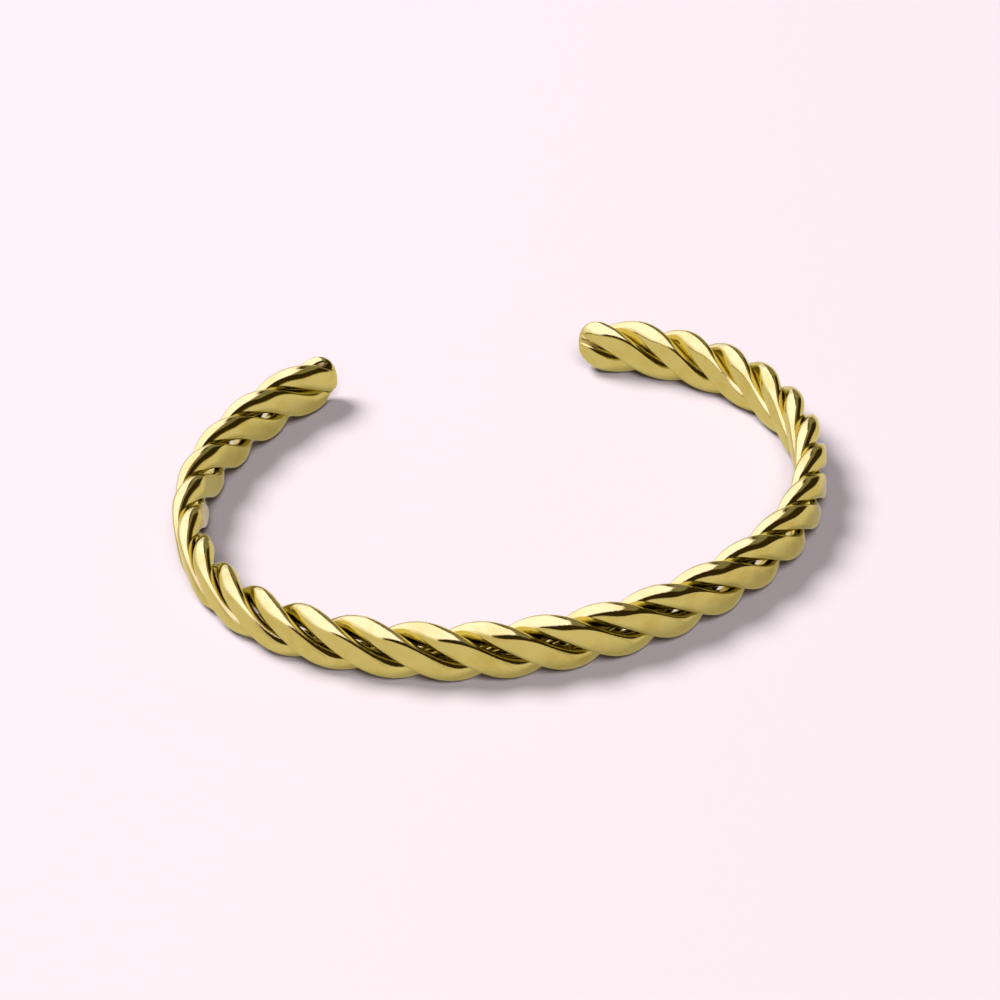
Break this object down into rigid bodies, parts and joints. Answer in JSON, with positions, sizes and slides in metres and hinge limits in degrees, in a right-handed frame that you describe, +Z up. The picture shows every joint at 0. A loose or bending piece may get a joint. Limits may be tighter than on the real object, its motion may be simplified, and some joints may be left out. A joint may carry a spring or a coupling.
{
  "type": "twisted rope cuff bracelet",
  "caption": "Open oval cuff bracelet: a flattened rope of twisted polished gold-toned brass wires, with rounded soldered tips and an opening to slip it over the wrist.",
  "frame": {"origin": "bottom centre of the cuff's box as it lies on its side: the lowest points of the band touch Z = 0", "axes": "+Z up through the wrist opening, +Y towards the gap between the tips, -Y towards the middle of the front, +X to the right tip's side, seen from the front"},
  "size_m": [0.0646, 0.0503, 0.0062],
  "materials": {
    "gold_brass": "mirror polished gold-toned brass, with fine scratches and darker grooves"
  },
  "bodies": {
    "root": {"strand_1": "gold_brass", "strand_2": "gold_brass", "strand_3": "gold_brass", "tip_left": "gold_brass", "tip_right": "gold_brass"}
  },
  "joints": []
}
